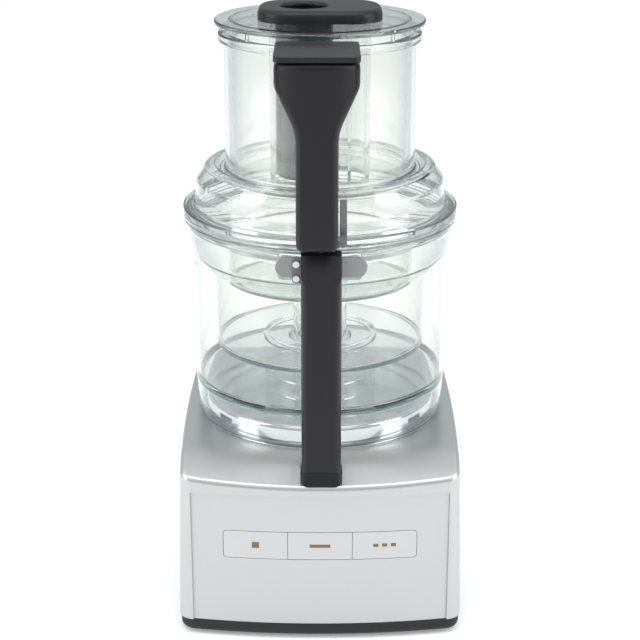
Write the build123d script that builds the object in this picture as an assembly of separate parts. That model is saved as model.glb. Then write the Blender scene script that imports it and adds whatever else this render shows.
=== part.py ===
from build123d import *
import math
import os

# Food processor: motor base, three nested bowls, lid with feed tube, and pushers.
# Millimetres.  +Z is up, the front faces -Y, and the origin is where the spindle
# axis meets the table.

# --- fits -----------------------------------------------------------------
running_fit = 0.05            # round a turning shaft
seat_gap = 0.05               # between two faces that rest together
joint_gap = 0.4               # between pieces of different bodies
half_gap = 0.1                # between the two halves of a handle

# --- motor base -----------------------------------------------------------
base_front = 133.0            # front of the base at its middle
base_back = 123.0
base_top_half = 104.4         # half width at the top, beside the bowl
base_corner_in = 4.0          # how much narrower the top is at its corners
base_foot_half = base_top_half
front_radius = 555.0          # the front face is a slice of a wide cylinder
corner_round = 12.0
housing_bottom = 13.0
deck_height = 136.0
deck_fall = 14.3              # how far the deck drops to its front edge
deck_front_height = deck_height - deck_fall
deck_slope_start = base_front - 45.0
housing_wall = 2.6
deck_edge_round = 4.2
panel_recess = 1.5
panel_half = base_top_half - 10.9
panel_top = deck_front_height - 5.6
tray_floor = 3.0
tray_lift = 2.2
tray_inset = 1.2
tray_round = 5.5
foot_radius = 9.0
foot_x = base_top_half - 36.4
foot_y = base_back - 25.0
foot_sunk = 1.6               # how deep a foot sits in the tray
post_x = base_top_half - 16.4   # the four screw posts, near the corners
post_y = base_back - 19.0
post_radius = 5.0
tray_boss_high = 8.8          # height of the tray's screw bosses over its floor
screw_shank = 1.55            # small self-tapping screws
screw_pilot = 1.6
vent_count = 9
vent_first = -20.0
vent_pitch = 9.0
vent_wide = 3.6
vent_low = 40.0
vent_high = 80.0
gland_x = -60.0
gland_z = 34.0
gland_neck = 7.0

# --- buttons --------------------------------------------------------------
button_names = ["stop", "auto", "pulse"]
button_strip_half = 70.0
button_low = deck_height - 70.0
button_high = button_low + 21.5
button_gap = 0.35
button_round = 2.6
button_thick = 3.0
stem_radius = 1.8
board_y = -(base_front - 15.0)
board_half = button_strip_half + 6.0
board_thick = 1.6
board_low = button_low - 10.0
board_high = button_high + 12.5
pillar_x = board_half - 5.0   # the board's four pillars and screws
pillar_low = board_low + 4.5
pillar_high = board_high - 4.5

# --- spindle and motor ----------------------------------------------------
shaft_radius = 6.0
spindle_radius = 8.0
motor_radius = 54.0
bell_wall = 3.0
stator_high = deck_height - 41.0
stator_low = stator_high - 45.0
lower_bell_low = stator_low - 26.0
upper_bell_high = stator_high + 20.0
mount_high = upper_bell_high + 6.0
stator_bore = 35.6
air_gap = 0.5
slot_count = 12
slot_middle = 42.5
bearing_radius = 13.0
bearing_height = 8.0
bearing_hub = 17.0
ear_circle = motor_radius + 5.0
mount_circle = motor_radius + 6.0
mount_flange = motor_radius + 12.0
shaft_low = lower_bell_low + 1.6
shaft_step = upper_bell_high + 8.5

# --- main bowl ------------------------------------------------------------
bowl_radius = 96.0
bowl_wall = 2.6
bowl_skirt_low = deck_height + 0.6
bowl_floor_top = deck_height + 30.4
bowl_floor_thick = 3.0
bowl_flare_low = bowl_floor_top + 91.6
bowl_flare_high = bowl_flare_low + 25.0
bowl_flare = 4.0
bowl_top = bowl_flare_high + 11.0
rim_radius = bowl_radius + 6.5
rim_wall = 4.3
ledge_height = bowl_top - 10.0
ledge_width = 2.6
hub_bore = spindle_radius + 3.0
hub_radius = hub_bore + 2.5
hub_top = bowl_floor_top + 19.6
collar_radius = 43.0
collar_low = bowl_floor_top - 14.1
pad_half = 30.0
pad_front = bowl_radius + 9.0
pad_low = bowl_top - 23.4
pad_high = bowl_top - 6.4
screw_x = -16.6               # the two screws beside the handle, one over the other
screw_gap = 10.5

# --- bowl seat ------------------------------------------------------------
seat_radius = bowl_radius - 8.5
seat_top_radius = seat_radius - 1.6
seat_lug_angle = 36.4         # the four hooks' recesses, from the side axis
seat_height = 15.5
seat_wall = 3.0
seat_shaft_hole = spindle_radius + 7.0

# --- midi and mini bowls --------------------------------------------------
midi_radius = 80.0
midi_wall = 2.2
midi_floor_top = bowl_floor_top + 26.3
midi_tube_radius = hub_radius + 7.0
midi_tube_top = midi_floor_top + 47.3
midi_ring_radius = collar_radius + 0.3
midi_flange = 1.85
mini_radius = midi_radius - 11.3
mini_wall = 2.1
mini_floor_top = midi_tube_top + 4.0
mini_tube_radius = hub_bore + 4.0
mini_tube_top = mini_floor_top + 24.0
mini_flange = 1.65
spindle_top = mini_tube_top + 17.0

# --- lid ------------------------------------------------------------------
lid_wall = 2.6
lid_flange_high = bowl_top + 5.0
lid_radius = rim_radius + 0.3
dome_radius = bowl_radius - 3.0
crest_radius = dome_radius - 11.5
crest_height = lid_flange_high + 31.0
tube_radius = bowl_radius - 25.7
tube_wall = 2.7
tube_low = crest_height - 13.0
tube_top = crest_height + 97.0
tube_bead = tube_radius + 3.9

# --- pushers --------------------------------------------------------------
pusher_gap = 1.1
pusher_wall = 2.5
pusher_low = tube_low + 0.8
disc_radius = tube_bead + 2.7
disc_low = tube_top + 6.0
disc_thick = 3.0
chute_half_x = 37.0
chute_half_y = 25.0
chute_wall = 2.3
partition_x = 21.0
small_x = -11.6
small_radius = 21.2
small_wall = 2.4
cap_half_x = chute_half_x + 8.0
cap_half_y = chute_half_y + 7.0
cap_height = 9.0
cap_hole = small_radius - 4.2

# --- handles --------------------------------------------------------------
bowl_handle_x = 0.9
bowl_handle_half = 14.0
bowl_handle_back = bowl_radius + 16.5
bowl_handle_front = bowl_handle_back + 20.1
bowl_handle_low = deck_height - 0.4
bowl_handle_top = bowl_top + 0.6
handle_flat_top = 6.8         # depth of the level top, over the rod
handle_foot_low = deck_height - 11.6
facet_low = bowl_handle_top - 19.6
cover_depth = 12.0
cover_wall = 2.3
handle_round = 4.5
rod_radius = 2.0
rod_collar = 3.0
rod_y = -(bowl_handle_back + 4.1)
rod_low = handle_foot_low - 1.0
rod_top = bowl_handle_top - 8.4
spring_low = handle_foot_low + 25.6
spring_high = spring_low + 20.0
spring_wire = 0.35
bracket_half = 32.0
bracket_tall = 14.6
bracket_thick = 1.6
clamp_left = -19.6
clamp_right = 12.0
clamp_low = pad_low - 1.4
clamp_high = pad_high - 0.6
clamp_thick = 2.6
lid_handle_x = -2.0
lid_handle_front = bowl_radius + 35.5
lid_handle_depth = 17.5
lid_grip_half = 14.4
lid_wide_half = 28.4
lid_handle_low = lid_flange_high - 1.2
lid_handle_top = tube_top + 0.2
lid_plate_top = tube_top + 4.0
lid_wide_low = tube_top - 16.0
lid_taper_low = tube_top - 47.0
lug_half = 22.0
lug_front = tube_radius + 17.7
lug_low = tube_top - 12.0
lug_high = tube_top - 4.0
lug_screw_x = 14.0
lug_screw_y = tube_radius + 10.7
hook_in = 12.8
hook_out = 17.8
hook_high = lid_flange_high + 27.0
hook_thick = 2.4

STAND = (Align.CENTER, Align.CENTER, Align.MIN)


# --- small makers ---------------------------------------------------------
def vertex_at(shape, spot):
    """The vertex of a flat sketch nearest to a point."""
    return min(shape.vertices(), key=lambda v: (v.X - spot[0]) ** 2 + (v.Y - spot[1]) ** 2)


def flat(points, rounds=None):
    """A closed flat outline, with some corners rounded: {corner index: radius}."""
    sketch = make_face(Polyline(*points, close=True))
    for index, radius in (rounds or {}).items():
        sketch = fillet([vertex_at(sketch, points[index])], radius)
    return sketch


def turned(points, rounds=None):
    """A solid of revolution about the spindle axis, from (radius, height) corners."""
    return revolve(Plane.XZ * flat(points, rounds), Axis.Z)


def ring(outer, inner, low, high):
    """A plain ring about the spindle axis."""
    return turned([(outer, low), (outer, high), (inner, high), (inner, low)])


def rod(x, y, low, high, radius):
    """An upright round bar."""
    return Pos(x, y, (low + high) / 2) * Cylinder(radius, high - low)


def block(x0, x1, y0, y1, z0, z1):
    """A box from its six faces."""
    centre = Pos((x0 + x1) / 2, (y0 + y1) / 2, (z0 + z1) / 2)
    return centre * Box(x1 - x0, y1 - y0, z1 - z0)


def spots(circle, count, first=0.0):
    """Even places round a circle."""
    turn = 2 * math.pi / count
    angles = [math.radians(first) + turn * i for i in range(count)]
    return [(circle * math.cos(a), circle * math.sin(a)) for a in angles]


def oval(half_x, half_y, low, high, corner):
    """An upright prism with a rounded-rectangle section."""
    face = RectangleRounded(2 * half_x, 2 * half_y, corner)
    return extrude(Pos(0, 0, low) * face, high - low)


def one(shape):
    """The largest solid of a result, for a node that is one piece."""
    return max(shape.solids(), key=lambda s: s.volume)


# --- base shell -----------------------------------------------------------
def front_drop(half):
    """How far the front face has curved back at this distance from the middle."""
    return front_radius - math.sqrt(front_radius ** 2 - half ** 2)


def base_outline(corner_half, middle_half, height, inset):
    """The base in plan at one height: bowed sides, a curved front and round corners."""
    wide = corner_half - inset
    front = -(base_front - inset) + front_drop(wide)
    back = base_back - inset
    edges = [
        ThreePointArc((-wide, front), (0, -(base_front - inset)), (wide, front)),
        ThreePointArc((wide, front), (middle_half - inset, (front + back) / 2), (wide, back)),
        Line((wide, back), (-wide, back)),
        ThreePointArc((-wide, back), (-(middle_half - inset), (front + back) / 2), (-wide, front)),
    ]
    face = make_face(Wire(edges))
    corners = [(wide, front), (wide, back), (-wide, back), (-wide, front)]
    for corner in corners:
        face = fillet([vertex_at(face, corner)], corner_round - min(inset, corner_round - 4))
    return Pos(0, 0, height) * face


def base_block(inset, low):
    """The solid inside the base's walls, from the housing's bottom to above the deck."""
    top = base_outline(base_top_half - base_corner_in, base_top_half, deck_height + 1, inset)
    bottom = base_outline(base_foot_half, base_foot_half + 0.3, low, inset)
    return loft([bottom, top])


def deck_profile(drop):
    """Everything below the deck: level beside the bowl, then curving down to the front."""
    high = deck_height - drop
    low = deck_front_height - drop
    front = -(base_front + 5)
    edges = [
        Line((front, 0), (front, low - 0.8)),
        Spline((front, low - 0.8), (-deck_slope_start, high), tangents=[(1, 0.46), (1, 0)]),
        Line((-deck_slope_start, high), (base_back + 5, high)),
        Line((base_back + 5, high), (base_back + 5, 0)),
        Line((base_back + 5, 0), (front, 0)),
    ]
    face = make_face(Wire(edges))
    return extrude(Plane.YZ * face, base_foot_half + 10, both=True)


def handle_pocket(grow):
    """The hollow in the deck's front edge where the bowl handle's foot stands."""
    half = bowl_handle_half + grow
    low = handle_foot_low - seat_gap - (grow - 1.0)
    body = block(-half, half, -base_front - 10, -bowl_handle_back + grow, low, deck_height + 5)
    return Pos(bowl_handle_x, 0, 0) * body


def button_window(grow):
    """The opening that the three buttons fill, through the front wall."""
    wide = 2 * (button_strip_half + grow)
    tall = button_high - button_low + 2 * grow
    face = RectangleRounded(wide, tall, button_round + grow)
    height = (button_high + button_low) / 2
    return extrude(Pos(0, -base_front - 5, height) * (Plane.XZ * face), -30)


def front_cut(depth):
    """What lies in front of the front face, once it is set back by a depth."""
    outside = block(-150, 150, -base_front - 60, -60, 0, 160)
    cylinder = Pos(0, front_radius - base_front, 80) * Cylinder(front_radius - depth, 200)
    return outside - cylinder


def motor_housing():
    """The silver shell: one moulding with four screw posts and four motor posts inside."""
    shell = base_block(0, housing_bottom) & deck_profile(0)
    rim = shell.faces().sort_by(Axis.Z)[-1].outer_wire().edges()
    shell = fillet(rim, deck_edge_round)
    panel = front_cut(panel_recess) & block(-panel_half, panel_half, -200, 0, 0, panel_top)
    shell -= panel
    inside = base_block(housing_wall, housing_bottom - 1) & deck_profile(housing_wall)
    pocket_wall = handle_pocket(1.0 + housing_wall) & inside
    shell -= inside
    shell += pocket_wall & deck_profile(0)
    front_wall = block(-panel_half - 4, panel_half + 4, -200, -60, housing_bottom, panel_top + 4)
    front_wall = front_wall & (front_cut(panel_recess + housing_wall) - front_cut(panel_recess))
    shell += front_wall & base_block(1.0, housing_bottom)
    shell -= handle_pocket(1.0)
    shell -= button_window(button_gap)
    shell -= rod(0, 0, deck_height - 10, deck_height + 10, seat_shaft_hole + 20)
    for x, y in spots(mount_circle, 4, 45):
        shell += rod(x, y, mount_high, deck_height - 1, 6.0)
        shell -= rod(x, y, mount_high - 1, mount_high + 9, 1.6)
    for x, y in post_spots():
        post = rod(x, y, tray_floor + tray_lift + tray_boss_high + 0.1, deck_height, post_radius)
        shell += post & deck_profile(1.0)
        shell -= rod(x, y, housing_bottom - 2, housing_bottom + 16, screw_pilot)
    for x, y in spots(seat_screw_circle(), 4, 0):
        shell -= rod(x, y, deck_height - 10, deck_height + 10, 2.2)
    gland_hole = Pos(gland_x, base_back, gland_z) * Rot(90, 0, 0) * Cylinder(gland_neck + 0.2, 30)
    shell -= gland_hole
    for i in range(vent_count):
        x = vent_first + vent_pitch * i
        shell -= block(x, x + vent_wide, base_back - 10, base_back + 5, vent_low, vent_high)
    shell -= rod(interlock_x(), rod_y, handle_foot_low - 12, handle_foot_low + 2, rod_radius + 0.8)
    for x, z in pillar_spots():
        pillar = Pos(x, 0, z) * Rot(90, 0, 0) * Cylinder(3.6, -board_y + 7, align=STAND)
        shell += pillar - block(-90, 90, board_y, 10, 0, 200)
        shell -= Pos(x, board_y, z) * Rot(90, 0, 0) * Cylinder(screw_pilot, 3.4, align=STAND)
    return one(shell)


def interlock_x():
    """The interlock rod runs down the middle of the bowl's handle."""
    return bowl_handle_x


def pillar_spots():
    """The four pillars behind the front wall that carry the control board."""
    return [(x, z) for x in (-pillar_x, pillar_x) for z in (pillar_low, pillar_high)]


def post_spots():
    """The four screw posts that stand over the tray, near the corners."""
    return [(x, y) for x in (-post_x, post_x) for y in (-post_y, post_y)]


def seat_screw_circle():
    """The circle of the four screws that hold the seat down, inside its wall."""
    return seat_top_radius - seat_wall - 9.0


def base_tray():
    """The black tray that closes the base: a floor with a rim, rounded underneath."""
    outline = base_outline(base_foot_half, base_foot_half + 0.3, tray_lift, tray_inset)
    tray = extrude(outline, housing_bottom - tray_lift)
    low_edges = tray.faces().sort_by(Axis.Z)[0].outer_wire().edges()
    tray = fillet(low_edges, tray_round)
    pocket = base_outline(base_foot_half, base_foot_half + 0.3, tray_lift + tray_floor, 7.0)
    tray -= extrude(pocket, housing_bottom)
    for x, y in post_spots():
        tray += rod(x, y, tray_lift + 1, tray_floor + tray_lift + tray_boss_high, post_radius + 1)
        tray -= rod(x, y, tray_lift - 1, tray_lift + 40, 2.1)
        tray -= rod(x, y, tray_lift - 1, tray_lift + 5.0, 4.2)
    for x, y in foot_spots():
        tray -= rod(x, y, tray_lift - 1, tray_lift + foot_sunk, foot_radius + 0.1)
    for i in range(8):
        y = -35.0 + 10.0 * i
        for side in (-1, 1):
            x = side * 76.0
            tray -= block(x - 12, x + 12, y, y + 4, 0, tray_lift + tray_floor + 1)
    return one(tray)


def foot_spots():
    """Four feet near the corners of the tray, clear of the screws."""
    return [(x, y) for x in (-foot_x, foot_x) for y in (-foot_y, foot_y)]


def rubber_foot(x, y):
    """A domed rubber disc pressed into a round seat under the tray."""
    disc = rod(x, y, 0, tray_lift + foot_sunk, foot_radius)
    return chamfer(disc.faces().sort_by(Axis.Z)[0].edges(), 0.8)


def screw(x, y, low, high, radius, head_radius, head_height):
    """A pan-head screw standing on its head, with a cross slot under it."""
    body = rod(x, y, low + head_height, high, radius)
    body += rod(x, y, low, low + head_height, head_radius)
    slot = head_radius * 0.6
    body -= Pos(x, y, low) * Box(2 * slot, 0.8, 1.6)
    body -= Pos(x, y, low) * Box(0.8, 2 * slot, 1.6)
    return body


def tray_screws():
    """Four screws up through the tray into the housing's posts."""
    low = tray_lift + 1.0
    return [screw(x, y, low, housing_bottom + 12, screw_shank, 4.0, 4.0) for x, y in post_spots()]


# --- seat and spindle -----------------------------------------------------
def bowl_seat():
    """The silver boss that the bowl drops over, with three hooks' recesses round it."""
    top = deck_height + seat_height
    inner = seat_top_radius - seat_wall
    points = [
        (seat_radius, deck_height), (seat_top_radius, top), (seat_shaft_hole, top),
        (seat_shaft_hole, top - seat_wall), (inner, top - seat_wall),
        (inner, deck_height),
    ]
    seat = turned(points, {1: 4.0})
    for x, y in spots(seat_screw_circle(), 4, 0):
        seat += rod(x, y, deck_height, top - 1, 4.5)
        seat -= rod(x, y, deck_height - 1, deck_height + 9, 1.6)
    for angle in (seat_lug_angle, 180 - seat_lug_angle, -seat_lug_angle, seat_lug_angle - 180):
        cut = Pos(seat_radius, 0, deck_height + 6.5) * Box(7.0, 15.0, 7.0)
        seat -= Rot(0, 0, angle) * cut
    collar = ring(seat_shaft_hole + 3, seat_shaft_hole - 0.5, top - 11, top - 0.5)
    return one(seat + collar)


def seat_screws():
    """Four screws from under the deck into the seat."""
    low = deck_height - housing_wall - 2.6
    places = spots(seat_screw_circle(), 4, 0)
    return [screw(x, y, low, deck_height + 8, screw_shank, 3.8, 2.6) for x, y in places]


def shaft_seal():
    """The rubber lip ring that keeps liquid out of the motor."""
    top = deck_height + seat_height
    outer = seat_shaft_hole - 0.5
    lip = spindle_radius + running_fit
    points = [
        (outer, top - 8), (outer, top - 1), (lip, top + 0.5), (lip, top - 0.8), (outer - 3, top - 3),
        (outer - 3, top - 8),
    ]
    return turned(points)


def spindle():
    """The steel motor shaft, stepped up to the drive spindle that the tools sit on."""
    shaft = rod(0, 0, shaft_low, shaft_step, shaft_radius)
    shaft += rod(0, 0, shaft_step, spindle_top, spindle_radius)
    shaft = chamfer(shaft.faces().sort_by(Axis.Z)[-1].edges(), 2.0)
    for side in (-1, 1):
        flat_cut = block(-20, 20, 0, 10, hub_top + 8, spindle_top + 1)
        shaft -= Rot(0, 0, 90 + 90 * side) * Pos(0, spindle_radius - 1.4, 0) * flat_cut
    return one(shaft)


def spindle_circlip():
    """The split ring under the upper bearing that keeps the shaft from lifting."""
    low = mount_low_plate() - 9.5
    clip = ring(shaft_radius + 3.0, shaft_radius, low, low + 1.2)
    return one(clip - block(-1.6, 1.6, 0, 20, low - 1, low + 3))


def mount_low_plate():
    """Underside of the upper bell's plate."""
    return upper_bell_high - bell_wall


def rotor_core():
    """The stack of rotor plates with a cast end ring at each end."""
    radius = stator_bore - air_gap
    core = ring(radius, shaft_radius, stator_low, stator_high)
    core += ring(radius - 3, radius - 9, stator_low - 3, stator_low)
    core += ring(radius - 3, radius - 9, stator_high, stator_high + 4)
    return one(core)


def cooling_fan():
    """The fan on the shaft's lower end: a disc with seven curved blades."""
    low = lower_bell_low + 13.6
    fan = ring(30.0, shaft_radius, low, low + 1.6)
    fan += ring(10.0, shaft_radius, low, low + 7.0)
    for i in range(7):
        blade = Pos(19.5, 0, low + 4.0) * Rot(0, 0, 24) * Box(18.0, 1.6, 7.0)
        fan += Rot(0, 0, 360 / 7 * i) * blade
    return one(fan)


# --- motor ----------------------------------------------------------------
def lower_bell():
    """The lower aluminium end bell, with four ears for the long bolts."""
    low = lower_bell_low
    bell = ring(motor_radius, motor_radius - bell_wall, low, stator_low)
    bell += rod(0, 0, low, low + 3, motor_radius)
    bell += rod(0, 0, low, low + 3 + bearing_height, bearing_hub)
    for x, y in spots(ear_circle, 4, 0):
        bell += rod(x, y, low, low + 5, 5.5)
        bell -= rod(x, y, low - 1, low + 6, 2.2)
    bell -= rod(0, 0, low + 3, low + 20, bearing_radius)
    bell -= rod(0, 0, low + 1, low + 20, bearing_radius - 4)
    for x, y in spots(33.0, 6, 30):
        bell -= rod(x, y, low - 1, low + 4, 7.0)
    return one(bell)


def upper_bell():
    """The upper end bell, whose flange hangs from the housing by rubber mounts."""
    plate = mount_low_plate()
    bell = ring(motor_radius, motor_radius - bell_wall, stator_high, upper_bell_high)
    bell += ring(mount_flange, bearing_radius - 3, plate, upper_bell_high)
    bell += ring(bearing_hub, bearing_radius - 3, plate - 4, plate + 6)
    for x, y in spots(33.0, 6, 30):
        bell -= rod(x, y, plate - 1, upper_bell_high + 1, 7.0)
    for x, y in spots(mount_circle, 4, 45) + spots(ear_circle, 4, 0):
        bell -= rod(x, y, plate - 1, upper_bell_high + 1, 2.2)
    bell -= rod(0, 0, plate - 2, plate + 20, bearing_radius)
    return one(bell)


def bearing(low):
    """A ball bearing, as one ring with a running fit on the shaft."""
    outer = ring(bearing_radius, shaft_radius + running_fit, low, low + bearing_height)
    top = low + bearing_height
    groove = ring(bearing_radius - 2.2, shaft_radius + 2.2, top - 0.8, top + 1)
    return one(outer - groove)


def motor_stator():
    """The ring of stator plates, with slots for the windings."""
    stator = ring(motor_radius, stator_bore, stator_low, stator_high)
    for i in range(slot_count):
        cut = Pos(slot_middle, 0, (stator_low + stator_high) / 2) * Box(9.0, 7.0, 60.0)
        stator -= Rot(0, 0, 360 / slot_count * i) * cut
    return one(stator)


def stator_windings():
    """The copper windings: bars in the slots, joined by the end turns."""
    high = stator_high + 8
    low = stator_low - 7
    outer, inner = slot_middle + 4.5, slot_middle - 3.9
    coil = ring(outer, inner, stator_high + 0.3, high)
    coil += ring(outer, inner, low, stator_low - 0.3)
    for i in range(slot_count):
        bar = Pos(slot_middle, 0, (low + high) / 2) * Box(7.6, 6.2, high - low)
        coil += Rot(0, 0, 360 / slot_count * i) * bar
    return one(coil)


def motor_bolts():
    """Four long bolts that clamp the two bells on the stator."""
    low = lower_bell_low - 3
    return [screw(x, y, low, upper_bell_high + 4, 2.0, 3.8, 3.0) for x, y in spots(ear_circle, 4, 0)]


def motor_nuts():
    """Four nuts on the long bolts, on top of the flange."""
    nuts = []
    for x, y in spots(ear_circle, 4, 0):
        nut = extrude(Pos(x, y, upper_bell_high) * RegularPolygon(3.8, 6), 3.2)
        nuts.append(nut - rod(x, y, upper_bell_high - 1, upper_bell_high + 5, 2.0 + running_fit))
    return nuts


def rubber_mounts():
    """Four rubber sleeves between the motor flange and the housing's posts."""
    mounts = []
    for x, y in spots(mount_circle, 4, 45):
        sleeve = rod(x, y, upper_bell_high, mount_high, 5.5) - rod(x, y, 0, 200, 2.2)
        mounts.append(sleeve)
    return mounts


def mount_screws():
    """Four screws up through the flange and the rubber into the posts."""
    low = mount_low_plate() - 2.6
    return [screw(x, y, low, mount_high + 8, screw_shank, 3.9, 2.6) for x, y in spots(mount_circle, 4, 45)]


# --- electrics ------------------------------------------------------------
def run_capacitor():
    """The motor's run capacitor: a can lying behind the motor."""
    can = Pos(0, 88.0, 45.0) * Rot(0, 90, 0) * Cylinder(17.0, 62.0)
    can = fillet(can.edges(), 1.5)
    for x in (-5.0, 5.0):
        can += Pos(33.0, 88.0 + x, 45.0) * Box(8.0, 1.0, 4.0)
    return can


def capacitor_clip():
    """A steel strap that holds the capacitor down on the tray."""
    strap = Pos(0, 88.0, 45.0) * Rot(0, 90, 0) * (Cylinder(18.4, 14.0) - Cylinder(17.1, 14.0))
    tray_top = tray_lift + tray_floor
    for side in (-1, 1):
        y = 88.0 + side * 17.7
        strap += block(-7, 7, y - 0.6, y + 0.6, tray_top, 46.0)
        strap += block(-7, 7, min(y, y + side * 8), max(y, y + side * 8), tray_top, tray_top + 1.2)
    return one(strap)


def control_board():
    """The control board behind the front panel, with a relay and two small cans."""
    back = board_y + board_thick
    board = block(-board_half, board_half, board_y, back, board_low, board_high)
    board += block(-60, -42, back, back + 14.4, 60, 76)
    board += Pos(20, board_y + 8, 70) * Rot(90, 0, 0) * Cylinder(6.0, 13.0)
    board += Pos(40, board_y + 7, 84) * Rot(90, 0, 0) * Cylinder(5.0, 11.0)
    for x, z in pillar_spots():
        board -= Pos(x, board_y, z) * Rot(90, 0, 0) * Cylinder(screw_pilot + 0.1, 10)
    return one(board)


def button_middle(index):
    """The middle of one of the three buttons, across the front."""
    pitch = 2 * button_strip_half / len(button_names)
    return -button_strip_half + pitch * (index + 0.5)


def button_face_y(x):
    """Where the recessed front panel lies at this place across the front."""
    return -(base_front - panel_recess) + front_drop(abs(x))


def push_switch(index):
    """A push switch on the board, with a bored body for the button's stem."""
    x = button_middle(index)
    height = (button_low + button_high) / 2
    body = block(x - 5, x + 5, board_y - 4.5, board_y, height - 5, height + 5)
    return body - Pos(x, board_y - 3.0, height) * Rot(90, 0, 0) * Cylinder(stem_radius + 0.3, 5.0)


def push_button(index):
    """A button: a curved pad flush with the panel, with a stem behind it."""
    pitch = 2 * button_strip_half / len(button_names)
    x = button_middle(index)
    low_x = x - pitch / 2 + (button_gap / 2 if index else 0)
    high_x = x + pitch / 2 - (button_gap / 2 if index < len(button_names) - 1 else 0)
    pad = front_cut(panel_recess + button_thick) - front_cut(panel_recess)
    pad = pad & button_window(0)
    pad = pad & block(low_x, high_x, -200, 0, 0, 200)
    height = (button_low + button_high) / 2
    face = button_face_y(x)
    back = board_y - 2.5
    stem = Pos(x, (face + 1.5 + back) / 2, height) * Rot(90, 0, 0) * Cylinder(stem_radius, back - face - 1.5)
    return one(pad + stem)


def board_screws():
    """Four screws that hold the board to the pillars behind the front wall."""
    screws = []
    back = board_y + board_thick
    for x, z in pillar_spots():
        shank = Pos(x, back, z) * Rot(90, 0, 0) * Cylinder(screw_shank, board_thick + 3, align=STAND)
        head = Pos(x, back, z) * Rot(-90, 0, 0) * Cylinder(3.0, 2.2, align=STAND)
        screws.append(shank + head)
    return screws


def cord_gland():
    """The black bush in the back wall where the mains lead goes in."""
    here = Pos(gland_x, 0, gland_z) * Rot(-90, 0, 0)
    reach = base_front - base_back
    bush = here * Pos(0, 0, base_back - 8) * Cylinder(gland_neck, 12, align=STAND)
    bush += here * Pos(0, 0, base_back) * Cylinder(gland_neck + 3, reach, align=STAND)
    bush += here * Pos(0, 0, base_back - housing_wall - 2.2) * Cylinder(gland_neck + 2, 2.0, align=STAND)
    bush -= here * Cylinder(3.6, 400)
    return one(bush)


def terminal_block():
    """The block where the mains lead's wires are clamped."""
    low = tray_lift + tray_floor
    body = block(gland_x - 14, gland_x + 14, 84, 98, low, low + 14)
    for i in range(3):
        x = gland_x - 9 + 9 * i
        body -= Pos(x, 91, low + 8) * Rot(90, 0, 0) * Cylinder(2.2, 20)
        body -= rod(x, 91, low + 8, low + 20, 1.8)
    return one(body)


def interlock_switch():
    """The safety switch under the handle's pocket, worked by the rod in the handle."""
    top = handle_foot_low - housing_wall - 2 * seat_gap
    x = interlock_x()
    body = block(x - 10, x + 10, rod_y - 4.5, rod_y + 7, top - 14, top)
    return one(body - rod(x, rod_y, top - 4, top + 1, rod_radius + 0.8))


# --- bowls ----------------------------------------------------------------
def main_bowl():
    """The big clear bowl: skirt, floor with a hub, flared top, rim and handle pad."""
    wall_in = bowl_radius - bowl_wall
    floor_low = bowl_floor_top - bowl_floor_thick
    lip_in = rim_radius - rim_wall
    points = [
        (bowl_radius - 2.1, bowl_skirt_low), (bowl_radius, bowl_floor_top), (bowl_radius, bowl_flare_low),
        (bowl_radius + bowl_flare, bowl_flare_high), (bowl_radius + bowl_flare, bowl_top - 6.0),
        (rim_radius, bowl_top - 5.4), (rim_radius, bowl_top), (lip_in, bowl_top),
        (lip_in, ledge_height), (lip_in - ledge_width, ledge_height),
        (wall_in, bowl_flare_low - 2), (wall_in, bowl_floor_top), (hub_radius, bowl_floor_top),
        (hub_radius, hub_top), (hub_bore, hub_top), (hub_bore, floor_low),
        (collar_radius - bowl_wall, floor_low), (collar_radius - bowl_wall, collar_low),
        (collar_radius, collar_low), (collar_radius, floor_low), (wall_in - 2.0, floor_low),
        (wall_in - 2.1, bowl_skirt_low),
    ]
    bowl = turned(points, {2: 30.0, 3: 8.0, 6: 1.2, 10: 30.0, 11: 3.0, 20: 2.0, 13: 0.8})
    pad = block(-pad_half, pad_half, -pad_front, -60, pad_low, pad_high)
    pad = fillet(pad.edges().filter_by(Axis.Y), 4.0)
    pad -= rod(0, 0, 0, ledge_height, bowl_radius + 1.0)
    bowl += pad - rod(0, 0, ledge_height, ledge_height + 100, lip_in)
    for z in screw_heights():
        hole = Pos(screw_x, -pad_front, z) * Rot(90, 0, 0) * Cylinder(screw_pilot, 6.0)
        bowl -= hole
    return one(bowl)


def screw_heights():
    """Heights of the two screws that hold the handle's clamp and bracket to the bowl."""
    middle = (clamp_low + clamp_high) / 2
    return [middle - screw_gap / 2, middle + screw_gap / 2]


def handle_bracket():
    """The long steel plate on the bowl's pad, wider than the handle."""
    face = SlotOverall(2 * bracket_half, bracket_tall)
    middle = (pad_low + pad_high) / 2 + 1.0
    plate = extrude(Pos(bowl_handle_x, -pad_front, middle) * (Plane.XZ * face), bracket_thick)
    for z in screw_heights():
        plate -= Pos(screw_x, -pad_front, z) * Rot(90, 0, 0) * Cylinder(screw_pilot + 0.1, 20.0)
    return plate


def handle_clamp():
    """The small gray block that ties the handle's arm to the bracket."""
    wide = clamp_right - clamp_left
    face = RectangleRounded(wide, clamp_high - clamp_low, 3.0)
    place = Pos((clamp_left + clamp_right) / 2, -pad_front - bracket_thick, (clamp_low + clamp_high) / 2)
    clamp = extrude(place * (Plane.XZ * face), clamp_thick)
    for z in screw_heights():
        clamp -= Pos(screw_x, -pad_front, z) * Rot(90, 0, 0) * Cylinder(screw_pilot + 0.1, 20.0)
    return clamp


def handle_screws():
    """Two screws through the clamp and the bracket into the bowl's pad."""
    screws = []
    for z in screw_heights():
        here = Pos(screw_x, -pad_front - bracket_thick - clamp_thick, z)
        shank = here * Rot(-90, 0, 0) * Cylinder(screw_shank, bracket_thick + clamp_thick + 2.6, align=STAND)
        head = here * Rot(90, 0, 0) * Cylinder(2.4, 1.2, align=STAND)
        screws.append(shank + head)
    return screws


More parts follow.
